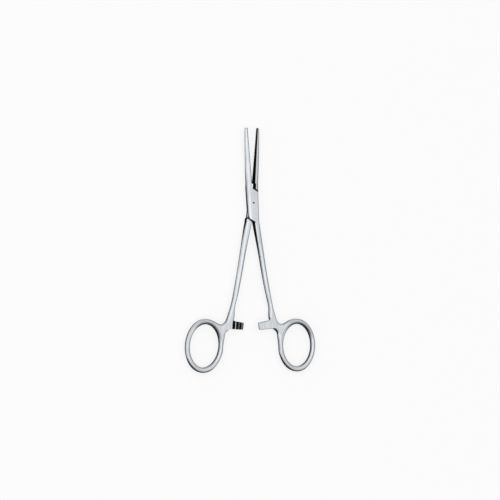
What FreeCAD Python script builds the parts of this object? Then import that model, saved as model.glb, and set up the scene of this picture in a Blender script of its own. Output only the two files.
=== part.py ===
import FreeCAD, Part
import math
import os
from FreeCAD import Vector

# A straight hemostat forceps of the 16 cm pattern, lying on its back face, jaws slightly open.
# X runs across the instrument, Y from the pivot towards the jaw tips, Z up through its thickness.
# The origin is on the pivot axis, in the back face of the box lock.
# Both halves are drawn closed, with the jaw faces meeting at x = 0, and then turned about the pivot.
# The shank of the female half lies at +X and its jaw at -X. The male half is the other way round.

# Whole instrument
half_opening_at_rest = 4.07       # degrees each half stands away from closed
greatest_opening = 50.0           # degrees between the jaws, fully open
box_thickness = 5.0
box_jaw_side = 3.55               # from the pivot to the side below each half's own jaw
box_shank_side = 4.35             # and to the side above its own shank, at the jaws' end
jaw_side_round = 2.0              # of the box's long edges below the jaw
shank_side_gap = 0.2              # from the centreline to a shank's inner side, closed

# Jaws
jaw_length = 49.3                 # pivot to tip
jaw_tip_width = 1.5               # of one jaw, from its face to its back
jaw_tip_thickness = 2.05
jaw_width_power = 0.72            # fast growth near the tip, slow near the box
jaw_thickness_power = 1.3
jaw_tip_round = 1.35              # of the outer corner, seen from above
jaw_section_round = 0.46          # corner radius of the jaw's back, as a share of its thickness
jaw_back_limit = 0.8              # the most that this radius takes of the jaw's width
jaw_round_run = 0.35              # share of the jaw over which its back grows round
jaw_stations = 8
jaw_station_power = 1.5           # crowds the sections towards the tip
plain_face = 2.7                  # of the jaw, between the box and the serration
serration_pitch = 0.97
serration_depth = 0.32
jaw_face_clearance = 0.04         # from the meshing surface to each jaw face
jaw_relief = {"female": 0.4, "male": 1.0}     # step behind the serrated face, next to the box

# Box lock
cheek_top_inner = 10.56           # height of the cheeks' upper edge beside the jaw relief
cheek_top_outer = 7.43            # and at the box's far side
cheek_bottom_inner = -11.6        # height of the cheeks' lower edge beside the shank
cheek_bottom_outer = -9.3         # and at the box's other side
cheek_corner_round = 2.2
shoulder_clearance = 0.06
tenon_thickness = 1.7
tenon_face_clearance = 0.05
tenon_hub_radius = 3.3
upper_neck_side = 3.4             # from the pivot line to the outer side of the neck to the jaw
lower_neck_side = 2.7             # the same for the neck to the shank, at the pivot
lower_neck_inset = 0.3            # and how far its foot lies inside the shank's outer side
shoulder_lean = 1.5               # the male shoulder's outer side, run on to the pivot's height
slot_wall_distance = 3.6          # from the pivot to each end wall of the slot
slot_angle_margin = 5.0           # degrees of slot beyond the greatest opening
pin_radius = 1.25
pin_running_clearance = 0.03

# Shanks, from the box to the handle
shank_top = 11.6                  # distance of the first section below the pivot
shank_runs = [8.4, 8.0, 8.0, 8.0, 8.0, 9.0]              # from each section to the next
shank_offsets = [1.94, 2.97, 3.85, 4.68, 5.51, 6.47, 7.75]     # of each section's middle
shank_widths = [3.48, 3.73, 3.57, 3.45, 3.40, 3.26, 2.75]
shank_inner_rounds = [0.6, 1.0, 1.4, 1.6, 1.65, 1.6, 1.25]
shank_outer_rounds = [1.0, 1.5, 1.7, 1.7, 1.7, 1.6, 1.25]
shank_taper_power = 0.5           # fast thinning below the box, slow towards the handle

# Ring handles
handle_thickness = 3.9
handle_edge_round = 1.25
ring_hole_length = 27.6
ring_hole_width = 20.5
ring_band_end = 3.45              # width of the band at the ring's top and bottom
ring_band_side = 2.8
ring_centre = {"female": (25.7, -93.7), "male": (27.0, -92.9)}
ring_lean = {"female": -1.9, "male": 1.9}
web_leaves_ring_top = 91.0        # degrees round the ring where the web's edges join it
web_leaves_ring_side = 206.0
# The web's edges run through points given on the line from the shank's foot to the ring's centre:
# share of the way along it, and distance beside it.
crotch_shares = [0.551, 0.524, 0.456, 0.338, 0.198]
crotch_distances = [1.9, -1.6, -3.35, -2.75, -1.3]
web_inner_shares = [0.159, 0.253, 0.351, 0.535, 0.588, 0.663]
web_inner_distances = [-3.7, -6.0, -7.7, -7.95, -7.4, -8.25]
above_arm, arm_root, below_arm = 1, 2, 3     # places of three of the inner edge's points
web_side_reach = 12.9             # from the ring's centre to the web's inner edge beside it

# Ratchet
arm_reach = {"female": -1.3, "male": 0.0}     # x of the arm's tip, closed
arm_top_at_tip = -76.8
arm_top_at_root = -75.9
arm_bottom = -81.3
arm_tip_slant = 0.3               # the tip's lower corner stands back by this much
arm_tip_round = 0.5
arm_top_flare = 3.6               # radius where the arm's upper edge runs into the shank
arm_bottom_flare = 3.2            # and its lower edge into the ring
arm_top_corner = 0.5              # those edges' corners, from the web's inner edge
arm_bottom_corner = 1.0
arm_root_depth = 1.65             # how far the arm's root reaches into the web
arm_edge_break = 0.25
arms_part = 0.05                  # from the middle plane to each arm's tooth crests
tooth_pitch = 2.25
tooth_depth = 0.8
tooth_count = 3
tooth_rise = 0.7                  # run of a tooth's steep flank, along the arm
tooth_tip_run = 1.3               # from the arm's tip to its first crest
tip_gap_depth = 0.6               # of the gap before the first crest
recess_depth = 1.15               # of the hollow between the last tooth and the web
recess_run = 1.9                  # from the last crest to the hollow's full depth
recess_wall_inset = 1.2           # from the web's edge at the arm's root to the hollow's wall

# Worked out from the sizes above
jaw_base = cheek_top_inner
serration_end = jaw_base + plain_face
slot_half_height = tenon_thickness / 2 + tenon_face_clearance
all_through = 4 * box_thickness
side_overrun = 0.05               # how far a cut runs past a side that it only rounds off
overlap = 1.0                     # how far cuts and joined forms reach past each other
full_turn = 360.0                 # degrees


def prism(points, z_low, z_high):
    """A straight-sided plan outline, extruded between two heights."""
    corners = [Vector(x, y, z_low) for x, y in points]
    face = Part.Face(Part.makePolygon(corners + corners[:1]))
    return face.extrude(Vector(0, 0, z_high - z_low))


def mirrored(shape):
    """The shape reflected across the centreline."""
    return shape.mirror(Vector(0, 0, 0), Vector(1, 0, 0))


def jaw_share(y):
    """0 at the jaw's tip and 1 at the box."""
    return (jaw_length - y) / (jaw_length - jaw_base)


def jaw_width(y):
    """From the jaw's face to its back."""
    growth = box_jaw_side - jaw_tip_width
    return jaw_tip_width + growth * jaw_share(y) ** jaw_width_power


def jaw_thickness(y):
    """The jaw's depth along Z."""
    growth = box_thickness - jaw_tip_thickness
    return jaw_tip_thickness + growth * jaw_share(y) ** jaw_thickness_power


def jaw_round(y):
    """Corner radius of the jaw's back: small at the box, nearly half round from there on."""
    full = min(jaw_section_round * jaw_thickness(y), jaw_back_limit * jaw_width(y))
    blend = min(1.0, (1 - jaw_share(y)) / jaw_round_run)
    return jaw_side_round + (full - jaw_side_round) * math.sin(blend * math.pi / 2)


def jaw_section(y):
    """D-shaped wire: flat face at x = 0, rounded back towards -X."""
    width, half, radius = jaw_width(y), jaw_thickness(y) / 2, jaw_round(y)
    bend = radius * (1 - math.sqrt(0.5))
    face_low, face_high = Vector(0, y, -half), Vector(0, y, half)
    top_end, side_top = Vector(radius - width, y, half), Vector(-width, y, half - radius)
    side_low, low_end = Vector(-width, y, radius - half), Vector(radius - width, y, -half)
    edges = [
        Part.LineSegment(face_low, face_high),
        Part.LineSegment(face_high, top_end),
        Part.Arc(top_end, Vector(bend - width, y, half - bend), side_top),
        Part.LineSegment(side_top, side_low),
        Part.Arc(side_low, Vector(bend - width, y, bend - half), low_end),
        Part.LineSegment(low_end, face_low),
    ]
    return Part.Wire([edge.toShape() for edge in edges])


def jaw_tip_side():
    """What the jaw is trimmed to in side view: a round end."""
    low, half, end, radius = jaw_base - overlap, box_thickness, jaw_length, jaw_tip_thickness / 2
    corners = [
        Vector(0, low, -half), Vector(0, end - 3 * radius, -half), Vector(0, end - radius, -radius),
        Vector(0, end - radius, radius), Vector(0, end - 3 * radius, half), Vector(0, low, half),
    ]
    sides = [Part.LineSegment(corners[index - 1], corners[index]) for index in (1, 2, 4, 5, 0)]
    sides.append(Part.Arc(corners[2], Vector(0, end, 0), corners[3]))
    wire = Part.Wire(Part.sortEdges([side.toShape() for side in sides])[0])
    profile = Part.Face(wire).extrude(Vector(2 * all_through, 0, 0))
    profile.translate(Vector(-all_through, 0, 0))
    return profile


def jaw_tip_plan():
    """What the jaw is trimmed to from above: a rounded outer corner."""
    side, low = -jaw_width(jaw_length - 2 * jaw_tip_round), jaw_base - overlap
    corners = [
        (overlap, low, 0), (overlap, jaw_length, 0), (side, jaw_length, jaw_tip_round),
        (side, jaw_length - 2 * jaw_tip_round, 0), (-2 * box_jaw_side, low, 0),
    ]
    return plate(rounded_outline(corners), -all_through, all_through)


def jaw_blank():
    """The jaw of the female half before its face is cut."""
    shares = [(1 - index / (jaw_stations - 1)) ** jaw_station_power for index in range(jaw_stations)]
    heights = [jaw_length - (jaw_length - jaw_base) * share for share in shares]
    loft = Part.makeLoft([jaw_section(y) for y in heights], True, False)
    return loft.common(jaw_tip_side()).common(jaw_tip_plan())


def shank_foot():
    """Outer side of the shank where it leaves the box."""
    return shank_offsets[0] + shank_widths[0] / 2


def half_block(side, side_height):
    """Box part of a half as a plain bar, its shank side given by one more point."""
    top, bottom, foot = jaw_base, -shank_top, shank_foot()
    outline = [
        (-box_jaw_side, bottom), (foot, bottom), (foot, bottom + overlap), (side, side_height),
        (side, top), (-box_jaw_side, top),
    ]
    bar = prism(outline, -box_thickness / 2, box_thickness / 2)
    bar = bar.makeFillet(jaw_side_round, [edge for edge in bar.Edges if is_long_edge(edge, -1)])
    return bar.makeFillet(shank_outer_rounds[0], [edge for edge in bar.Edges if is_long_edge(edge, 1)])


def is_long_edge(edge, side):
    """True for the corner edges that run along the box at one of its sides."""
    first, last = edge.Vertexes[0].Point, edge.Vertexes[-1].Point
    at_corner = abs(abs(first.z) - box_thickness / 2) < 0.01 and abs(first.z - last.z) < 0.01
    at_side = first.x * side >= box_jaw_side - 0.01
    return at_corner and at_side and abs(first.y - last.y) > 0.5


def rounded_outline(corners):
    """Closed plan wire through (x, y, radius) corners, each turned with a tangent arc."""
    points = [Vector(x, y, 0) for x, y, _ in corners]
    edges, starts, ends = [], [], []
    for index, (_, _, radius) in enumerate(corners):
        here, before, after = points[index], points[index - 1], points[(index + 1) % len(points)]
        back, ahead = (before - here).normalize(), (after - here).normalize()
        half_angle = back.getAngle(ahead) / 2
        reach = radius / math.tan(half_angle)
        start, end = here + back * reach, here + ahead * reach
        if radius > 0:
            middle_way = (back + ahead).normalize()
            middle = here + middle_way * (radius / math.sin(half_angle) - radius)
            edges.append(Part.Arc(start, middle, end).toShape())
        starts.append(start)
        ends.append(end)
    for index in range(len(corners)):
        edges.append(Part.LineSegment(ends[index - 1], starts[index]).toShape())
    return Part.Wire(Part.sortEdges(edges)[0])


def plate(wire, z_low, z_high):
    """A plan wire filled and extruded between two heights."""
    face = Part.Face(wire)
    face.translate(Vector(0, 0, z_low))
    return face.extrude(Vector(0, 0, z_high - z_low))


def cheek_top_line(x, clearance=0.0):
    """Height of the cheeks' slanted upper edge at x, moved out by a clearance."""
    relief = jaw_relief["female"]
    slope = (cheek_top_outer - cheek_top_inner) / (box_shank_side + relief)
    return cheek_top_inner + slope * (x + relief) + clearance * math.hypot(1, slope)


def above_cheeks(left, top, clearance):
    """The region above the cheeks' upper edge, right of a line and below a height."""
    right = 3 * box_shank_side
    corners = [
        (left, cheek_top_line(left, clearance)), (right, cheek_top_line(right, clearance)),
        (right, top), (left, top),
    ]
    return prism(corners, -all_through, all_through)


def below_cheeks(inner_side, clearance):
    """The region beyond the cheeks' lower edge, with a bay round the cheeks' corner."""
    far, low, side = -4 * box_jaw_side, -4 * shank_top, -box_jaw_side - side_overrun - clearance
    slope = (cheek_bottom_outer - cheek_bottom_inner) / (box_jaw_side + shank_side_gap)
    drop = clearance * math.hypot(1, slope)
    start_height = cheek_bottom_inner - drop - slope * (inner_side - shank_side_gap)
    corner_height = cheek_bottom_outer - drop + slope * clearance
    upper = corner_height + cheek_corner_round
    corners = [
        (inner_side, start_height, 0), (side, corner_height, cheek_corner_round),
        (side, upper, 0), (far, upper, 0), (far, low, 0), (inner_side, low, 0),
    ]
    return plate(rounded_outline(corners), -all_through, all_through)


def zigzag_cut(side):
    """All that lies past one jaw's serrated face: side is 1 for the female jaw, -1 for the male."""
    far = side * 3 * box_jaw_side
    ridges = int((jaw_length - serration_end) / (serration_pitch / 2)) + 2
    points = [(far, serration_end), (far, serration_end + ridges * serration_pitch / 2)]
    for index in range(ridges, -1, -1):
        ridge = serration_depth / 2 if index % 2 else -serration_depth / 2
        points.append((ridge - side * jaw_face_clearance, serration_end + index * serration_pitch / 2))
    return prism(points, -all_through, all_through)


def slot():
    """The window through the female half in which the tenon swings."""
    angle = math.radians(greatest_opening + slot_angle_margin)
    height = lambda x: -(slot_wall_distance - x * math.cos(angle)) / math.sin(angle)
    side, far, top = shank_side_gap, 2 * box_shank_side, 2 * jaw_base
    corners = [
        (side, height(side)), (far, height(far)), (far, top), (-side, top),
        (-side, -height(side)), (-far, -height(far)), (-far, -top), (side, -top),
    ]
    return prism(corners, -slot_half_height, slot_half_height)


def bore(radius):
    """A round hole on the pivot axis, right through."""
    return Part.makeCylinder(radius, 2 * all_through, Vector(0, 0, -all_through))


def tenon():
    """The thin middle of the male half: a hub, a neck to its jaw and a neck to its shank."""
    half = tenon_thickness / 2
    hub = Part.makeCylinder(tenon_hub_radius, tenon_thickness, Vector(0, 0, -half))
    inner, outer = jaw_relief["male"], upper_neck_side
    upper = prism([(inner, 0), (outer, 0), (outer, jaw_base), (inner, jaw_base)], -half, half)
    inner, foot = -shank_side_gap, lower_neck_inset - shank_foot()
    lower = prism([(inner, 0), (-lower_neck_side, 0), (foot, -shank_top), (inner, -shank_top)], -half, half)
    return hub.fuse([upper, lower])


def shank_point(index):
    """Middle of one of the shank's sections, counted from 0 at the box."""
    return Vector(shank_offsets[index], -shank_top - sum(shank_runs[:index]), 0)


def handle_foot():
    """Where the shank ends and the handle begins."""
    return shank_point(len(shank_runs))


def shank_direction(index):
    """Unit vector down the shank's middle line at one section."""
    if index == 0:
        return Vector(0, -1, 0)
    last = min(index + 1, len(shank_runs))
    return (shank_point(last) - shank_point(index - 1)).normalize()


def shank_section(index):
    """Rounded rectangle across the shank."""
    share = sum(shank_runs[:index]) / sum(shank_runs)
    half = (box_thickness + (handle_thickness - box_thickness) * share ** shank_taper_power) / 2
    side, inner, outer = shank_widths[index] / 2, shank_inner_rounds[index], shank_outer_rounds[index]
    corners = [(-side, -half, inner), (side, -half, outer), (side, half, outer), (-side, half, inner)]
    along, middle = shank_direction(index), shank_point(index)
    place = FreeCAD.Matrix(
        -along.y, 0, along.x, middle.x,
        along.x, 0, along.y, middle.y,
        0, 1, 0, 0,
    )
    return rounded_outline(corners).transformGeometry(place)


def shank():
    """The tapering bar from the box to the handle."""
    return Part.makeLoft([shank_section(index) for index in range(len(shank_widths))], True, False)


def ring_point(half, degrees, long_axis, wide_axis):
    """Point and direction on an oval round the ring's centre; 0 degrees is at +X, 90 at the top."""
    turn, lean = math.radians(degrees), math.radians(ring_lean[half])
    x, y = wide_axis / 2 * math.cos(turn), long_axis / 2 * math.sin(turn)
    dx, dy = -wide_axis / 2 * math.sin(turn), long_axis / 2 * math.cos(turn)
    cos, sin = math.cos(lean), math.sin(lean)
    centre = ring_centre[half]
    point = Vector(centre[0] + x * cos - y * sin, centre[1] + x * sin + y * cos, 0)
    return point, Vector(dx * cos - dy * sin, dx * sin + dy * cos, 0).normalize()


def ring_oval(half, long_axis, wide_axis, first=0.0, last=full_turn):
    """An oval edge round the ring's centre, or a stretch of it."""
    centre = Vector(*ring_centre[half], 0)
    top, _ = ring_point(half, 90, long_axis, wide_axis)
    side, _ = ring_point(half, 180, long_axis, wide_axis)
    oval = Part.Ellipse(top, side, centre)
    if last - first >= full_turn:
        return oval.toShape()
    start = oval.parameter(ring_point(half, first, long_axis, wide_axis)[0])
    end = oval.parameter(ring_point(half, last, long_axis, wide_axis)[0])
    return Part.ArcOfEllipse(oval, start, end if end > start else end + 2 * math.pi).toShape()


def smooth_edge(points, start_way, end_way):
    """A smooth edge through points, from one direction to the other."""
    curve = Part.BSplineCurve()
    curve.interpolate(Points=points, InitialTangent=start_way, FinalTangent=end_way)
    return curve.toShape()


def web_points(half, shares, distances):
    """Points of the web's edge between the shank's foot and the ring's centre."""
    foot, centre = handle_foot(), Vector(*ring_centre[half], 0)
    way = (centre - foot).normalize()
    side = Vector(-way.y, way.x, 0)
    return [foot + (centre - foot) * share + side * away for share, away in zip(shares, distances)]


def web_outline(half, inner_foot, outer_foot, down):
    """The web's two edges, the outer oval of the ring and the line across the foot."""
    long_axis, wide_axis = ring_hole_length + 2 * ring_band_end, ring_hole_width + 2 * ring_band_side
    top, top_way = ring_point(half, web_leaves_ring_top, long_axis, wide_axis)
    low, low_way = ring_point(half, web_leaves_ring_side, long_axis, wide_axis)
    beside = Vector(ring_centre[half][0] - web_side_reach, ring_centre[half][1], 0)
    inside = [inner_foot] + web_points(half, web_inner_shares, web_inner_distances) + [beside, low]
    crotch = [top] + web_points(half, crotch_shares, crotch_distances) + [outer_foot]
    edges = [
        smooth_edge(inside, down, low_way), smooth_edge(crotch, top_way, down * -1),
        ring_oval(half, long_axis, wide_axis, web_leaves_ring_side - full_turn, web_leaves_ring_top),
        Part.LineSegment(outer_foot, inner_foot).toShape(),
    ]
    return Part.Wire(Part.sortEdges(edges)[0])


def handle(half):
    """Web and finger ring, from the foot of the shank, with rounded edges."""
    foot, down = handle_foot(), shank_direction(len(shank_runs))
    across = Vector(-down.y, down.x, 0) * (shank_widths[-1] / 2)
    outline = web_outline(half, foot - across, foot + across, down)
    body = plate(outline, -handle_thickness / 2, handle_thickness / 2)
    hole = plate(Part.Wire([ring_oval(half, ring_hole_length, ring_hole_width)]), -all_through, all_through)
    body = body.cut(hole)
    rims = [edge for edge in body.Edges if is_flat_edge(edge) and not is_seam(edge, foot, down)]
    return body.makeFillet(handle_edge_round, rims)


def is_flat_edge(edge):
    """True for an edge that lies level in the handle's top or bottom face."""
    box = edge.BoundBox
    return box.ZLength < 0.001 and abs(abs(box.ZMin) - handle_thickness / 2) < 0.001


def is_seam(edge, foot, down):
    """True for an edge of the face where the handle meets the shank."""
    return all(abs((vertex.Point - foot).dot(down)) < 0.001 for vertex in edge.Vertexes)


def arm_outline(half):
    """Plan of the ratchet arm, its root buried in the web."""
    edge, reach = web_points(half, web_inner_shares, web_inner_distances), arm_reach[half]
    top, root, bottom = edge[above_arm], edge[arm_root], edge[below_arm]
    return rounded_outline([
        (reach, arm_top_at_tip, arm_tip_round),
        (root.x - arm_top_corner, arm_top_at_root, arm_top_flare),
        (top.x + arm_root_depth, top.y, 0), (bottom.x + arm_root_depth, bottom.y, 0),
        (bottom.x - arm_bottom_corner, arm_bottom, arm_bottom_flare),
        (reach + arm_tip_slant, arm_bottom, arm_tip_round),
    ])


def ratchet_arm(half):
    """The flat arm with its saw teeth below, as thick as the web where it roots."""
    arm = plate(arm_outline(half), -handle_thickness / 2, handle_thickness / 2)
    top_edges = [edge for edge in arm.Edges if edge.BoundBox.ZMin > handle_thickness / 2 - 0.001]
    arm = arm.makeChamfer(arm_edge_break, top_edges)
    return arm.cut(tooth_gaps(half, arm_top_at_root + arm_top_flare))


def tooth_gaps(half, top):
    """All that lies below the arm up to a line: the teeth's gaps, and the hollow next to the web."""
    tip, low, gap_top = arm_reach[half], -handle_thickness, arms_part + tip_gap_depth
    first = tip + tooth_tip_run
    points = [(tip - overlap, low), (tip - overlap, gap_top), (tip, gap_top)]
    for index in range(tooth_count):
        crest = first + index * tooth_pitch
        points.append((crest, arms_part))
        if index < tooth_count - 1:
            points.append((crest + tooth_rise, arms_part + tooth_depth))
    root = web_points(half, web_inner_shares, web_inner_distances)[arm_root]
    wall, floor = root.x + recess_wall_inset, arms_part + recess_depth
    points.extend([(crest + recess_run, floor), (wall, floor), (wall, low)])
    bottom = arm_bottom - overlap
    corners = [Vector(x, bottom, z) for x, z in points]
    face = Part.Face(Part.makePolygon(corners + corners[:1]))
    return face.extrude(Vector(0, top - bottom, 0))


def grip(half):
    """Shank, web, ring and toothed arm in one, drawn with the arm's teeth below."""
    web_and_ring = handle(half).cut(tooth_gaps(half, arm_top_at_root))
    return shank().fuse([web_and_ring, ratchet_arm(half)])


def upside_down(shape):
    """The shape reflected through the middle plane."""
    return shape.mirror(Vector(0, 0, 0), Vector(0, 0, 1))


def female_half():
    """Jaw, cheeks with their slot, shank, upper ratchet arm and ring, closed."""
    jaw = jaw_blank().cut(zigzag_cut(1))
    block = half_block(box_shank_side, jaw_base - overlap)
    box = block.fuse(jaw).cut(above_cheeks(-jaw_relief["female"], serration_end, 0))
    box = box.cut(below_cheeks(shank_side_gap, 0)).cut(slot()).cut(bore(pin_radius))
    return box.fuse(grip("female")).removeSplitter()


def male_half():
    """Jaw, tenon, shank, lower ratchet arm and ring, closed."""
    jaw = mirrored(jaw_blank()).cut(zigzag_cut(-1))
    face, low = jaw_relief["male"], jaw_base - overlap
    relief = prism(
        [(-overlap, low), (face, low), (face, serration_end), (-overlap, serration_end)],
        -all_through, all_through,
    )
    bar = mirrored(half_block(shoulder_lean, 0))
    upper = bar.common(above_cheeks(face, jaw_base, shoulder_clearance))
    lower = bar.common(below_cheeks(-shank_side_gap, shoulder_clearance))
    middle = tenon().cut(bore(pin_radius + pin_running_clearance))
    lower_grip = mirrored(upside_down(grip("male")))
    return jaw.cut(relief).fuse([upper, lower, middle, lower_grip]).removeSplitter()


def set_down(shape, turn):
    """Turns a closed half about the pivot and lays it on its back face."""
    shape.rotate(Vector(0, 0, 0), Vector(0, 0, 1), turn)
    shape.translate(Vector(0, 0, box_thickness / 2))
    return shape


def pin():
    """The rivet through the box lock, ground flush with both cheeks."""
    return Part.makeCylinder(pin_radius, box_thickness, Vector(0, 0, -box_thickness / 2))


def main():
    """Builds the three pieces and writes one file for each."""
    os.makedirs("parts", exist_ok=True)
    pieces = {
        "female_half": set_down(female_half(), half_opening_at_rest),
        "male_half": set_down(male_half(), -half_opening_at_rest),
        "box_lock_pin": set_down(pin(), half_opening_at_rest),
    }
    for name, shape in pieces.items():
        shape.exportStep("parts/" + name + ".step")
        solids = len(shape.Solids)
        print(name, "solids", solids, "valid", shape.isValid(), "volume mm3", round(shape.Volume, 1))


main()
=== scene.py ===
"""Looks of a straight hemostat forceps: polished steel under plain soft studio light."""

import logging
import math
from dataclasses import dataclass, field
from enum import Enum
from typing import Any

import bpy
from mathutils import Matrix, Vector

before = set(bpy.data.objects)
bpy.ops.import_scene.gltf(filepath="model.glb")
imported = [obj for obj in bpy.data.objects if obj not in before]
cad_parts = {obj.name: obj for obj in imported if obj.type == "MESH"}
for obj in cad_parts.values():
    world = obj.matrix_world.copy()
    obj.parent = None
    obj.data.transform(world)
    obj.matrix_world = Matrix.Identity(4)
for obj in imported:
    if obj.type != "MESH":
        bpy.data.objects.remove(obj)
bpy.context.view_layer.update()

logging.basicConfig(level=logging.INFO, format="%(name)s: %(message)s")
LOG = logging.getLogger("hemostat")

MM = 0.001


class Node(Enum):
    """The solids of the part, by the names they carry in the frame."""

    OUTER_HALF = "female_half"
    INNER_HALF = "male_half"
    PIN = "box_lock_pin"


def linear(hex_colour: str) -> tuple[float, float, float, float]:
    """Turns an sRGB hex colour into linear RGBA.

    Args:
        hex_colour: Six hexadecimal digits, such as "C8CCCE".

    Returns:
        Linear red, green and blue, with an alpha of 1.
    """
    channels = [int(hex_colour[i:i + 2], 16) / 255 for i in (0, 2, 4)]
    red, green, blue = (
        c / 12.92 if c <= 0.04045 else ((c + 0.055) / 1.055) ** 2.4 for c in channels
    )
    return red, green, blue, 1.0


def add_node(
    tree: bpy.types.NodeTree,
    kind: str,
    inputs: dict[str | int, Any] | None = None,
    **settings: Any,
) -> bpy.types.Node:
    """Adds one shader or geometry node.

    Args:
        tree: The node tree that gets the node.
        kind: The node's type name in Blender.
        inputs: Socket name or index to a value, or to the output socket that feeds it.
        settings: The node's own properties.

    Returns:
        The new node.
    """
    node = tree.nodes.new(kind)
    for name, value in settings.items():
        setattr(node, name, value)
    for socket, value in (inputs or {}).items():
        if isinstance(value, bpy.types.NodeSocket):
            tree.links.new(value, node.inputs[socket])
        else:
            node.inputs[socket].default_value = value
    return node


@dataclass(frozen=True)
class GrindingWays:
    """Where the grinding runs on one piece, as sockets of its material."""

    # Distance from the finger ring's middle, way round the ring and height.
    round_ring: bpy.types.NodeSocket
    # Place on the closed piece, where Y runs along the shank.
    along_shank: bpy.types.NodeSocket
    # 0 on the finger ring and 1 away from it.
    off_ring: bpy.types.NodeSocket


@dataclass(frozen=True)
class SatinStainlessSteel:
    """Hardened stainless steel, belt ground and then satin polished.

    The grinding leaves fine lines along the jaws and shanks and round the rings. The polish after
    it leaves soft reflections with a faint cloudiness. Shade is painted into the colour as dark,
    matt steel: on the steep sides, in the joints of the box lock, between the ratchet's teeth, on
    the jaws' faces and along the upper edges of the finger holes.
    """

    name: str = "satin_polished_stainless_steel"
    colour: str = "DDE0E3"
    cloud_colour: str = "CBCFD4"
    painted_shade_colour: str = "1A1B1D"
    roughness: float = 0.2
    roughness_spread: float = 0.05
    unshaded_gloss: float = 0.5

    # Grinding lines are about 0.03 mm apart, too fine to show, so they are drawn at 0.35 mm.
    line_spacing_mm: float = 0.35
    line_stretch: float = 25.0
    line_depth_mm: float = 0.012
    line_bump_share: float = 0.35
    line_detail: float = 3.0
    line_raggedness: float = 0.6
    line_tone: float = 0.12
    # The belt presses unevenly, which leaves broader bands of lighter and darker lines.
    band_spacing_mm: float = 1.6
    band_tone: float = 0.1
    cloud_size_mm: float = 9.0
    cloud_detail: float = 2.0
    # Blender's noise seldom leaves this span, so it counts as the whole range of a pattern.
    noise_span: tuple[float, float] = (0.3, 0.7)
    noise_middle: float = 0.5

    # Width of a finger ring over its length, and how far its winding lines reach along its width.
    ring_ratio: float = 0.75
    ring_reach_mm: tuple[float, float] = (12.9, 14.5)
    # The winding lines show this much more strongly than those along the shanks.
    ring_gain: float = 2.2
    # The rings are polished further, which shows the darker bare metal and sharper reflections.
    ring_tone: float = 0.95
    ring_roughness: float = 0.12

    # Painted shade from ambient occlusion: the steep sides see the ground nearby, which closes off
    # about half of their open air.
    shade_reach_mm: float = 20.0
    shade_open_air: tuple[float, float] = (0.47, 0.77)
    shade_samples: int = 16
    # Extra painted shade on the sides round the box lock: middle, full and last reach in Y.
    lock_shade_reach_mm: tuple[float, float, float] = (-2.0, 9.0, 30.0)
    lock_shade_share: float = 0.13
    # Extra painted shade on the rings' steep sides.
    ring_shade_share: float = 0.04
    # Painted shade on faces that turn towards the ring end and slightly to the left.
    painted_shade_way: tuple[float, float, float] = (-0.2, -0.98, 0.0)
    painted_shade_facing: tuple[float, float] = (0.38, 0.62)
    painted_shade_facing_share: float = 0.92
    # Painted shade along the upper edge of each finger hole: reach from the ring's middle, turn and
    # share.
    hole_edge_mm: tuple[float, float] = (10.7, 12.2)
    hole_turn_degrees: float = 78.0
    hole_shade_spread: tuple[float, float] = (0.3, 0.85)
    hole_shade_share: float = 0.92
    # A painted shadow line runs along the cheeks' upper and lower edges: height at x = 0,
    # rise along X, and both ends in X.
    seams_mm: tuple[tuple[float, float, float, float], ...] = (
        (10.30, -0.659, 0.2, 5.6),
        (-11.50, -0.613, -5.6, 0.6),
    )
    seam_shade_width_mm: tuple[float, float] = (0.2, 0.6)
    # The serrated faces of the jaws lie along x = 0 and get painted shade.
    serration_side_mm: tuple[float, float] = (0.0, 0.4)
    serration_along_mm: tuple[float, float] = (11.0, 50.0)
    # The ratchet's teeth stand near the middle height and get painted shade between them: sides in
    # X, span in Y and depth from there.
    ratchet_side_mm: tuple[float, float] = (0.0, 8.7)
    ratchet_along_mm: tuple[float, float] = (-81.2, -76.2)
    ratchet_depth_mm: tuple[float, float] = (0.2, 1.4)
    middle_height_mm: float = 2.5

    def build(
        self, name: str, turn_degrees: float, ring_centre_mm: tuple[float, float],
    ) -> bpy.types.Material:
        """Makes the finish of one piece, in the axes that the piece has when it is closed.

        Args:
            name: What the material is called.
            turn_degrees: How far the piece is turned about the pivot at rest.
            ring_centre_mm: Middle of its finger ring when it is closed.

        Returns:
            The finished material.
        """
        material = bpy.data.materials.new(name)
        material.use_nodes = True
        tree = material.node_tree
        tree.nodes.clear()
        place = add_node(tree, "ShaderNodeTexCoord").outputs["Object"]
        turn_back = (0.0, 0.0, -math.radians(turn_degrees))
        closed = add_node(
            tree, "ShaderNodeMapping",
            {"Vector": place, "Rotation": turn_back, "Scale": (1 / MM,) * 3},
        ).outputs["Vector"]
        ways = self.grinding_ways(tree, closed, ring_centre_mm)
        lines = self.drawn_out(tree, ways, self.line_spacing_mm)
        bands = self.drawn_out(tree, ways, self.band_spacing_mm)
        clouds = add_node(
            tree, "ShaderNodeTexNoise",
            {"Vector": closed, "Scale": 1 / self.cloud_size_mm, "Detail": self.cloud_detail},
        ).outputs["Fac"]
        unshaded = self.unshaded_share(tree, closed, ways)
        satin = add_node(
            tree, "ShaderNodeMapRange",
            {"Value": ways.off_ring, "To Min": self.ring_tone, "To Max": 1.0},
        ).outputs["Result"]
        tone = self.tone(tree, lines, bands, clouds, satin, unshaded)
        # Painted shade is matt, so it takes the gloss away with the bare metal.
        gloss = add_node(
            tree, "ShaderNodeMath", {0: unshaded, 1: self.unshaded_gloss}, operation="MULTIPLY",
        ).outputs["Value"]
        bump = add_node(
            tree, "ShaderNodeBump",
            {"Height": lines, "Strength": self.line_bump_share,
             "Distance": self.line_depth_mm * MM},
        ).outputs["Normal"]
        shader = add_node(
            tree, "ShaderNodeBsdfPrincipled",
            {"Base Color": tone, "Metallic": unshaded, "Specular IOR Level": gloss,
             "Roughness": self.streaked_roughness(tree, lines, ways), "Normal": bump},
        )
        add_node(tree, "ShaderNodeOutputMaterial", {"Surface": shader.outputs["BSDF"]})
        return material

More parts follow.
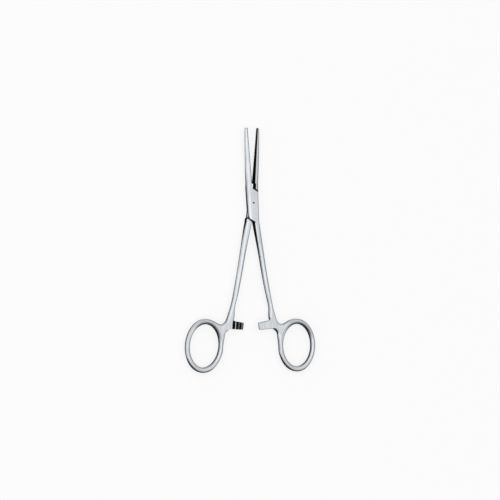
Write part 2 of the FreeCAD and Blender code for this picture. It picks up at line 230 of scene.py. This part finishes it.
    def grinding_ways(
        self,
        tree: bpy.types.NodeTree,
        closed: bpy.types.NodeSocket,
        ring_centre_mm: tuple[float, float],
    ) -> GrindingWays:
        """Finds the two ways of the grinding: round the finger ring, and along the shank.

        Args:
            tree: The material's node tree.
            closed: Place on the closed piece, in millimetres.
            ring_centre_mm: Middle of the finger ring.

        Returns:
            Both ways, and where the one gives way to the other.
        """
        from_ring = add_node(
            tree, "ShaderNodeVectorMath", {0: closed, 1: (*ring_centre_mm, 0.0)},
            operation="SUBTRACT",
        ).outputs["Vector"]
        # Squeezing the ring's length to its width makes its winding lines plain circles.
        level = add_node(
            tree, "ShaderNodeVectorMath", {0: from_ring, 1: (1.0, self.ring_ratio, 0.0)},
            operation="MULTIPLY",
        ).outputs["Vector"]
        radius = add_node(
            tree, "ShaderNodeVectorMath", {0: level}, operation="LENGTH",
        ).outputs["Value"]
        parts = add_node(tree, "ShaderNodeSeparateXYZ", {"Vector": level}).outputs
        angle = add_node(
            tree, "ShaderNodeMath", {0: parts["Y"], 1: parts["X"]}, operation="ARCTAN2",
        ).outputs["Value"]
        round_way = add_node(
            tree, "ShaderNodeMath", {0: angle, 1: self.ring_reach_mm[0]}, operation="MULTIPLY",
        ).outputs["Value"]
        height = add_node(tree, "ShaderNodeSeparateXYZ", {"Vector": closed}).outputs["Z"]
        round_ring = add_node(
            tree, "ShaderNodeCombineXYZ", {"X": radius, "Y": round_way, "Z": height},
        ).outputs["Vector"]
        off_ring = add_node(
            tree, "ShaderNodeMapRange",
            {"Value": radius, "From Min": self.ring_reach_mm[0], "From Max": self.ring_reach_mm[1]},
        ).outputs["Result"]
        return GrindingWays(round_ring, closed, off_ring)

    def drawn_out(
        self, tree: bpy.types.NodeTree, ways: GrindingWays, spacing_mm: float,
    ) -> bpy.types.NodeSocket:
        """Draws noise out along the grinding.

        Args:
            tree: The material's node tree.
            ways: Where the grinding runs.
            spacing_mm: Distance from line to line.

        Returns:
            The height of the lines, from 0 to 1.
        """
        drawn = []
        for way in (ways.round_ring, ways.along_shank):
            stretched = add_node(
                tree, "ShaderNodeMapping",
                {"Vector": way, "Scale": (1.0, 1 / self.line_stretch, 1.0)},
            ).outputs["Vector"]
            drawn.append(add_node(
                tree, "ShaderNodeTexNoise",
                {"Vector": stretched, "Scale": 1 / spacing_mm, "Detail": self.line_detail,
                 "Roughness": self.line_raggedness},
            ).outputs["Fac"])
        on_ring, on_shank = drawn
        reach = self.noise_middle / self.ring_gain
        livelier = add_node(
            tree, "ShaderNodeMapRange",
            {"Value": on_ring,
             "From Min": self.noise_middle - reach, "From Max": self.noise_middle + reach},
        ).outputs["Result"]
        return add_node(
            tree, "ShaderNodeMix", {"Factor": ways.off_ring, "A": livelier, "B": on_shank},
            data_type="FLOAT",
        ).outputs["Result"]

    def streaked_roughness(
        self, tree: bpy.types.NodeTree, lines: bpy.types.NodeSocket, ways: GrindingWays,
    ) -> bpy.types.NodeSocket:
        """Gives the rings and the rest their own roughness, which wanders with the lines.

        Args:
            tree: The material's node tree.
            lines: Height of the grinding lines.
            ways: Where the grinding runs.

        Returns:
            The roughness.
        """
        middle = add_node(
            tree, "ShaderNodeMapRange",
            {"Value": ways.off_ring, "To Min": self.ring_roughness, "To Max": self.roughness},
        ).outputs["Result"]
        spread = add_node(
            tree, "ShaderNodeMapRange",
            {"Value": lines, "From Min": self.noise_span[0], "From Max": self.noise_span[1],
             "To Min": -self.roughness_spread, "To Max": self.roughness_spread},
        ).outputs["Result"]
        return add_node(
            tree, "ShaderNodeMath", {0: middle, 1: spread}, operation="ADD",
        ).outputs["Value"]

    def unshaded_share(
        self, tree: bpy.types.NodeTree, closed: bpy.types.NodeSocket, ways: GrindingWays,
    ) -> bpy.types.NodeSocket:
        """How free of painted shade the steel is: 1 in the open, 0 in the joints, the teeth and on
        steep sides.

        Args:
            tree: The material's node tree.
            closed: Place on the closed piece, in millimetres.
            ways: Where the grinding runs.

        Returns:
            The share of steel without painted shade.
        """
        place = add_node(tree, "ShaderNodeSeparateXYZ", {"Vector": closed}).outputs
        unshaded = self.unshaded_by_open_air(tree, place, ways)
        # Painted shadow lines along the cheeks' edges.
        seam_shades = (self.seam(tree, place, *seam) for seam in self.seams_mm)
        painted_shade = self.ratchet_teeth_shade(tree, place)
        for extra in (
            self.serration_shade(tree, place), self.turned_away_shade(tree), self.hole_edge_shade(tree, ways), *seam_shades,
        ):
            painted_shade = add_node(
                tree, "ShaderNodeMath", {0: painted_shade, 1: extra}, operation="MAXIMUM",
            ).outputs["Value"]
        return add_node(
            tree, "ShaderNodeMath", {0: unshaded, 1: painted_shade}, operation="SUBTRACT", use_clamp=True,
        ).outputs["Value"]

    def unshaded_by_open_air(
        self, tree: bpy.types.NodeTree, place: Any, ways: GrindingWays,
    ) -> bpy.types.NodeSocket:
        """Painted shade from the open air before the steel, found by ambient occlusion.

        Args:
            tree: The material's node tree.
            place: The place's X, Y and Z sockets, in millimetres.
            ways: Where the grinding runs.

        Returns:
            1 where no shade is painted, and 0 where it is painted fully.
        """
        # Painted shade: ambient occlusion darkens the steep sides and the faces near the floor.
        open_air = add_node(
            tree, "ShaderNodeAmbientOcclusion", {"Distance": self.shade_reach_mm * MM},
            samples=self.shade_samples,
        ).outputs["AO"]
        middle, full, last = self.lock_shade_reach_mm
        off_lock = add_node(
            tree, "ShaderNodeMath", {0: place["Y"], 1: middle}, operation="SUBTRACT",
        ).outputs["Value"]
        off_lock = add_node(
            tree, "ShaderNodeMath", {0: off_lock}, operation="ABSOLUTE",
        ).outputs["Value"]
        near_lock = add_node(
            tree, "ShaderNodeMapRange",
            {"Value": off_lock, "From Min": full, "From Max": last,
             "To Min": self.lock_shade_share, "To Max": 0.0},
            interpolation_type="SMOOTHSTEP",
        ).outputs["Result"]
        near_ring = add_node(
            tree, "ShaderNodeMapRange",
            {"Value": ways.off_ring, "To Min": self.ring_shade_share, "To Max": 0.0},
        ).outputs["Result"]
        for closed_off in (near_lock, near_ring):
            open_air = add_node(
                tree, "ShaderNodeMath", {0: open_air, 1: closed_off}, operation="SUBTRACT",
            ).outputs["Value"]
        return add_node(
            tree, "ShaderNodeMapRange",
            {"Value": open_air,
             "From Min": self.shade_open_air[0], "From Max": self.shade_open_air[1]},
            interpolation_type="SMOOTHSTEP",
        ).outputs["Result"]

    def ratchet_teeth_shade(self, tree: bpy.types.NodeTree, place: Any) -> bpy.types.NodeSocket:
        """Painted shade between the teeth of the ratchet's arms.

        Args:
            tree: The material's node tree.
            place: The place's X, Y and Z sockets, in millimetres.

        Returns:
            1 between the teeth, and 0 elsewhere.
        """
        # Painted shade fills a box round the ratchet's teeth.
        side = add_node(
            tree, "ShaderNodeMath", {0: place["X"]}, operation="ABSOLUTE",
        ).outputs["Value"]
        depth = add_node(
            tree, "ShaderNodeMath", {0: place["Z"], 1: self.middle_height_mm},
            operation="SUBTRACT",
        ).outputs["Value"]
        depth = add_node(
            tree, "ShaderNodeMath", {0: depth}, operation="ABSOLUTE",
        ).outputs["Value"]
        return self.within(
            tree,
            (side, self.ratchet_side_mm),
            (place["Y"], self.ratchet_along_mm),
            (depth, self.ratchet_depth_mm),
        )

    def serration_shade(self, tree: bpy.types.NodeTree, place: Any) -> bpy.types.NodeSocket:
        """Painted shade on the serrated faces of the jaws.

        Args:
            tree: The material's node tree.
            place: The place's X, Y and Z sockets, in millimetres.

        Returns:
            1 on the serrated face, and 0 elsewhere.
        """
        # Painted shade covers a strip along the jaws' faces.
        side = add_node(
            tree, "ShaderNodeMath", {0: place["X"]}, operation="ABSOLUTE",
        ).outputs["Value"]
        return self.within(
            tree, (side, self.serration_side_mm), (place["Y"], self.serration_along_mm),
        )

    def hole_edge_shade(self, tree: bpy.types.NodeTree, ways: GrindingWays) -> bpy.types.NodeSocket:
        """Painted shade along the upper edge of the finger hole.

        Args:
            tree: The material's node tree.
            ways: Where the grinding runs.

        Returns:
            The share of painted shade.
        """
        # Painted shade on an arc at the top of the finger hole.
        wound = add_node(tree, "ShaderNodeSeparateXYZ", {"Vector": ways.round_ring}).outputs
        angle = add_node(
            tree, "ShaderNodeMath", {0: wound["Y"], 1: self.ring_reach_mm[0]}, operation="DIVIDE",
        ).outputs["Value"]
        turn = add_node(
            tree, "ShaderNodeMath", {0: angle, 1: math.radians(self.hole_turn_degrees)},
            operation="SUBTRACT",
        ).outputs["Value"]
        upward = add_node(tree, "ShaderNodeMath", {0: turn}, operation="COSINE").outputs["Value"]
        round_top = add_node(
            tree, "ShaderNodeMapRange",
            {"Value": upward, "From Min": self.hole_shade_spread[0], "From Max": self.hole_shade_spread[1],
             "To Max": self.hole_shade_share},
            interpolation_type="SMOOTHSTEP",
        ).outputs["Result"]
        near = add_node(
            tree, "ShaderNodeMapRange",
            {"Value": wound["X"],
             "From Min": self.hole_edge_mm[0], "From Max": self.hole_edge_mm[1],
             "To Min": 1.0, "To Max": 0.0},
            interpolation_type="SMOOTHSTEP",
        ).outputs["Result"]
        return add_node(
            tree, "ShaderNodeMath", {0: round_top, 1: near}, operation="MULTIPLY",
        ).outputs["Value"]

    def turned_away_shade(self, tree: bpy.types.NodeTree) -> bpy.types.NodeSocket:
        """Painted shade on the faces that turn towards the ring end and slightly to the left.

        Args:
            tree: The material's node tree.

        Returns:
            The share of residue.
        """
        normal = add_node(tree, "ShaderNodeTexCoord").outputs["Normal"]
        # Painted shade grows as the face turns towards this way.
        turned = add_node(
            tree, "ShaderNodeVectorMath", {0: normal, 1: self.painted_shade_way},
            operation="DOT_PRODUCT",
        ).outputs["Value"]
        return add_node(
            tree, "ShaderNodeMapRange",
            {"Value": turned,
             "From Min": self.painted_shade_facing[0], "From Max": self.painted_shade_facing[1],
             "To Min": 0.0, "To Max": self.painted_shade_facing_share},
            interpolation_type="SMOOTHSTEP",
        ).outputs["Result"]

    def within(
        self, tree: bpy.types.NodeTree, *tests: tuple[bpy.types.NodeSocket, tuple[float, float]],
    ) -> bpy.types.NodeSocket:
        """Gives 1 where every value lies between its two bounds, and 0 elsewhere.

        Args:
            tree: The material's node tree.
            tests: Each value, with its lower and its upper bound.

        Returns:
            The result of all the tests.
        """
        passed = None
        for value, (low, high) in tests:
            test = add_node(
                tree, "ShaderNodeMath", {0: value, 1: (low + high) / 2, 2: (high - low) / 2},
                operation="COMPARE",
            ).outputs["Value"]
            passed = test if passed is None else add_node(
                tree, "ShaderNodeMath", {0: passed, 1: test}, operation="MULTIPLY",
            ).outputs["Value"]
        return passed

    def seam(
        self,
        tree: bpy.types.NodeTree,
        place: Any,
        height: float,
        rise: float,
        left: float,
        right: float,
    ) -> bpy.types.NodeSocket:
        """A painted shadow line along one slanted edge of the box lock's cheeks.

        Args:
            tree: The material's node tree.
            place: The place's X, Y and Z sockets, in millimetres.
            height: The edge's height at x = 0.
            rise: Its rise for each millimetre along X.
            left: Where it begins in X.
            right: Where it ends in X.

        Returns:
            1 on the edge, falling to 0 beside it.
        """
        # Painted shadow line: dark within a narrow band beside the edge.
        edge = add_node(
            tree, "ShaderNodeMath", {0: place["X"], 1: rise, 2: height}, operation="MULTIPLY_ADD",
        ).outputs["Value"]
        off = add_node(
            tree, "ShaderNodeMath", {0: place["Y"], 1: edge}, operation="SUBTRACT",
        ).outputs["Value"]
        off = add_node(tree, "ShaderNodeMath", {0: off}, operation="ABSOLUTE").outputs["Value"]
        near = add_node(
            tree, "ShaderNodeMapRange",
            {"Value": off, "From Min": self.seam_shade_width_mm[0], "From Max": self.seam_shade_width_mm[1],
             "To Min": 1.0, "To Max": 0.0},
        ).outputs["Result"]
        across = self.within(tree, (place["X"], (left, right)))
        return add_node(
            tree, "ShaderNodeMath", {0: near, 1: across}, operation="MULTIPLY",
        ).outputs["Value"]

    def tone(
        self,
        tree: bpy.types.NodeTree,
        lines: bpy.types.NodeSocket,
        bands: bpy.types.NodeSocket,
        clouds: bpy.types.NodeSocket,
        satin: bpy.types.NodeSocket,
        unshaded: bpy.types.NodeSocket,
    ) -> bpy.types.NodeSocket:
        """The steel's colour: cloudy, streaked by the grinding and darkened by painted shade.

        Args:
            tree: The material's node tree.
            lines: Height of the grinding lines.
            bands: Broad bands of the same grinding.
            clouds: Large soft patches.
            satin: Lightness that the further polish of the rings leaves.
            unshaded: Share of steel without painted shade.

        Returns:
            The colour.
        """
        cloudy = add_node(
            tree, "ShaderNodeMix",
            {"Factor": clouds, "A": linear(self.colour), "B": linear(self.cloud_colour)},
            data_type="RGBA",
        ).outputs["Result"]
        streaked = add_node(
            tree, "ShaderNodeVectorMath", {0: cloudy, "Scale": satin}, operation="SCALE",
        ).outputs["Vector"]
        for height, spread in ((lines, self.line_tone), (bands, self.band_tone)):
            streak = add_node(
                tree, "ShaderNodeMapRange",
                {"Value": height, "From Min": self.noise_span[0], "From Max": self.noise_span[1],
                 "To Min": 1 - spread, "To Max": 1 + spread},
            ).outputs["Result"]
            streaked = add_node(
                tree, "ShaderNodeVectorMath", {0: streaked, "Scale": streak}, operation="SCALE",
            ).outputs["Vector"]
        # Mixes in the dark matt colour wherever shade is painted.
        return add_node(
            tree, "ShaderNodeMix",
            {"Factor": unshaded, "A": linear(self.painted_shade_colour), "B": streaked},
            data_type="RGBA",
        ).outputs["Result"]


@dataclass
class SteelPiece:
    """One solid of the instrument, dressed as it is."""

    node: Node
    turn_degrees: float
    ring_centre_mm: tuple[float, float]
    steel: SatinStainlessSteel = field(default_factory=SatinStainlessSteel)
    sharp_edge_degrees: float = 28.0
    weld_distance_mm: float = 0.001

    def dress(self) -> None:
        """Gives the solid its finish, and smooth shading between its real edges."""
        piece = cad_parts[self.node.value]
        finish = self.steel.build(
            f"{self.steel.name}_{self.node.value}", self.turn_degrees, self.ring_centre_mm,
        )
        piece.data.materials.clear()
        piece.data.materials.append(finish)
        modifier = piece.modifiers.new("shading", "NODES")
        modifier.node_group = self.shading_group()
        LOG.info("%s dressed in %s", self.node.value, finish.name)

    def shading_group(self) -> bpy.types.NodeTree:
        """Builds the modifier that joins the facets and shades them smooth.

        Returns:
            A geometry node group.
        """
        group = bpy.data.node_groups.new(f"shading_{self.node.value}", "GeometryNodeTree")
        for in_out in ("INPUT", "OUTPUT"):
            group.interface.new_socket(
                "Geometry", in_out=in_out, socket_type="NodeSocketGeometry",
            )
        entry = add_node(group, "NodeGroupInput").outputs["Geometry"]
        joined = add_node(
            group, "GeometryNodeMergeByDistance",
            {"Geometry": entry, "Distance": self.weld_distance_mm * MM},
        ).outputs["Geometry"]
        smooth = add_node(
            group, "GeometryNodeSetShadeSmooth", {"Geometry": joined, "Shade Smooth": True},
            domain="FACE",
        ).outputs["Geometry"]
        angle = add_node(group, "GeometryNodeInputMeshEdgeAngle").outputs["Unsigned Angle"]
        sharp = add_node(
            group, "FunctionNodeCompare", {0: angle, 1: math.radians(self.sharp_edge_degrees)},
            data_type="FLOAT", operation="GREATER_THAN",
        ).outputs["Result"]
        edged = add_node(
            group, "GeometryNodeSetShadeSmooth",
            {"Geometry": smooth, "Selection": sharp, "Shade Smooth": False}, domain="EDGE",
        ).outputs["Geometry"]
        add_node(group, "NodeGroupOutput", {"Geometry": edged})
        return group


@dataclass
class Instrument:
    """The hemostat's three steel pieces: two halves and the pin of the box lock."""

    half_opening_degrees: float = 4.07
    outer_ring_centre_mm: tuple[float, float] = (25.7, -93.7)
    inner_ring_centre_mm: tuple[float, float] = (-27.0, -92.9)
    # The pin has no ring: winding its lines about its own middle gives it a turned end face.
    pin_centre_mm: tuple[float, float] = (0.0, 0.0)
    pin_tone: float = 0.98

    def dress(self) -> None:
        """Dresses the pieces in order."""
        opening = self.half_opening_degrees
        SteelPiece(Node.OUTER_HALF, opening, self.outer_ring_centre_mm).dress()
        SteelPiece(Node.INNER_HALF, -opening, self.inner_ring_centre_mm).dress()
        pin_steel = SatinStainlessSteel(ring_tone=self.pin_tone)
        SteelPiece(Node.PIN, opening, self.pin_centre_mm, pin_steel).dress()


@dataclass
class Studio:
    """Pale floor, soft daylight-coloured light and the photograph's camera."""

    white: str = "FFFFFF"
    floor_colour: str = "FDFDFD"
    floor_size_m: float = 3.0
    # Of a camera's or a reflection's view of the floor, this much is plain white paper.
    floor_white_share: float = 0.8
    # The sky's light on the far side and round the camera, and how near to its way it is full.
    sky_levels: tuple[float, float] = (0.28, 1.0)
    sky_full_at: float = 0.64
    # The room is darker beyond the finger rings, which draws the edges that face that way.
    dark_end: tuple[float, float] = (-0.75, -0.3)
    dark_end_share: float = 0.5
    lamp_watts: float = 3.5
    lamp_size_m: float = 2.0
    lamp_distance_m: float = 1.6
    pivot_height_mm: float = 2.5
    camera_distance_mm: float = 1200.0
    camera_tilt_degrees: float = 25.0
    # The frame is 500 pixels wide, each 0.645 mm of the instrument.
    frame_width_mm: float = 322.5
    frame_offset_mm: tuple[float, float] = (-1.23, -29.67)
    sensor_mm: float = 36.0
    clip_m: tuple[float, float] = (0.05, 10.0)

    def build(self) -> None:
        """Makes the floor, the world, the lamp and the camera."""
        self.floor()
        self.world()
        self.lamp()
        self.camera()
        bpy.context.scene.view_settings.view_transform = "Standard"
        LOG.info("studio ready")

    def floor(self) -> None:
        """Lays a plain pale floor under the instrument."""
        mesh = bpy.data.meshes.new("floor")
        half = self.floor_size_m / 2
        corners = [(-half, -half, 0), (half, -half, 0), (half, half, 0), (-half, half, 0)]
        mesh.from_pydata(corners, [], [(0, 1, 2, 3)])
        floor = bpy.data.objects.new("floor", mesh)
        bpy.context.scene.collection.objects.link(floor)
        material = bpy.data.materials.new("matt_white_paper")
        material.use_nodes = True
        tree = material.node_tree
        tree.nodes.clear()
        paper = add_node(tree, "ShaderNodeBsdfDiffuse", {"Color": linear(self.floor_colour)})
        white = add_node(
            tree, "ShaderNodeEmission", {"Color": linear(self.white), "Strength": 1.0},
        )
        seen = self.seen_by(tree, ("Is Camera Ray", "Is Glossy Ray", "Is Transmission Ray"))
        share = add_node(
            tree, "ShaderNodeMath", {0: seen, 1: self.floor_white_share}, operation="MULTIPLY",
        ).outputs["Value"]
        shader = add_node(
            tree, "ShaderNodeMixShader",
            {0: share, 1: paper.outputs["BSDF"], 2: white.outputs["Emission"]},
        )
        add_node(tree, "ShaderNodeOutputMaterial", {"Surface": shader.outputs["Shader"]})
        mesh.materials.append(material)

    def seen_by(self, tree: bpy.types.NodeTree, rays: tuple[str, ...]) -> bpy.types.NodeSocket:
        """Gives 1 for the named kinds of rays.

        Args:
            tree: The material's node tree.
            rays: Output names of the Light Path node.

        Returns:
            Their sum, no more than 1.
        """
        path = add_node(tree, "ShaderNodeLightPath")
        total = path.outputs[rays[0]]
        for ray in rays[1:]:
            total = add_node(
                tree, "ShaderNodeMath", {0: total, 1: path.outputs[ray]}, operation="ADD",
                use_clamp=True,
            ).outputs["Value"]
        return total

    def world(self) -> None:
        """Surrounds the scene with soft light, fullest round the camera, lower to the far side."""
        world = bpy.data.worlds.new("studio")
        bpy.context.scene.world = world
        world.use_nodes = True
        tree = world.node_tree
        tree.nodes.clear()
        way = add_node(tree, "ShaderNodeTexCoord").outputs["Generated"]
        facing = add_node(
            tree, "ShaderNodeVectorMath", {0: way, 1: tuple(self.camera_way())},
            operation="DOT_PRODUCT",
        ).outputs["Value"]
        level = add_node(
            tree, "ShaderNodeMapRange",
            {"Value": facing, "From Max": self.sky_full_at,
             "To Min": self.sky_levels[0], "To Max": self.sky_levels[1]},
        ).outputs["Result"]
        along = add_node(tree, "ShaderNodeSeparateXYZ", {"Vector": way}).outputs["Y"]
        shade = add_node(
            tree, "ShaderNodeMapRange",
            {"Value": along, "From Min": self.dark_end[0], "From Max": self.dark_end[1],
             "To Min": self.dark_end_share},
            interpolation_type="SMOOTHSTEP",
        ).outputs["Result"]
        strength = add_node(
            tree, "ShaderNodeMath", {0: level, 1: shade}, operation="MULTIPLY",
        ).outputs["Value"]
        sky = add_node(
            tree, "ShaderNodeBackground", {"Color": linear(self.white), "Strength": strength},
        )
        add_node(tree, "ShaderNodeOutputWorld", {"Surface": sky.outputs["Background"]})

    def camera_way(self) -> Vector:
        """Direction from the instrument to the camera, and to the lamp behind it."""
        tilt = math.radians(self.camera_tilt_degrees)
        return Vector((-math.sin(tilt), 0, math.cos(tilt)))

    def lamp(self) -> None:
        """Hangs one large soft lamp behind the camera, so that shadows fall away from it."""
        data = bpy.data.lights.new("softbox", "AREA")
        data.shape = "SQUARE"
        data.size = self.lamp_size_m
        data.energy = self.lamp_watts
        lamp = bpy.data.objects.new("softbox", data)
        lamp.location = self.camera_way() * self.lamp_distance_m
        lamp.rotation_mode = "QUATERNION"
        lamp.rotation_quaternion = Vector(lamp.location).to_track_quat("Z", "Y")
        bpy.context.scene.collection.objects.link(lamp)

    def camera(self) -> None:
        """Sets the camera above the pivot, leaning to the left as in the photograph."""
        tilt = math.radians(self.camera_tilt_degrees)
        right = Vector((math.cos(tilt), 0, math.sin(tilt)))
        up = Vector((0, 1, 0))
        back = self.camera_way()
        data = bpy.data.cameras.new("camera")
        data.sensor_width = self.sensor_mm
        data.lens = self.sensor_mm * self.camera_distance_mm / self.frame_width_mm
        data.clip_start, data.clip_end = self.clip_m
        camera = bpy.data.objects.new("camera", data)
        across, along = (offset * MM for offset in self.frame_offset_mm)
        pivot = Vector((0, 0, self.pivot_height_mm * MM))
        place = pivot + back * self.camera_distance_mm * MM + right * across + up * along
        turn = Matrix((right, up, back)).transposed().to_4x4()
        camera.matrix_world = Matrix.Translation(place) @ turn
        bpy.context.scene.collection.objects.link(camera)
        bpy.context.scene.camera = camera


def main() -> None:
    """Builds the instrument and the studio in order."""
    Instrument().dress()
    Studio().build()


if __name__ == "__main__":
    main()
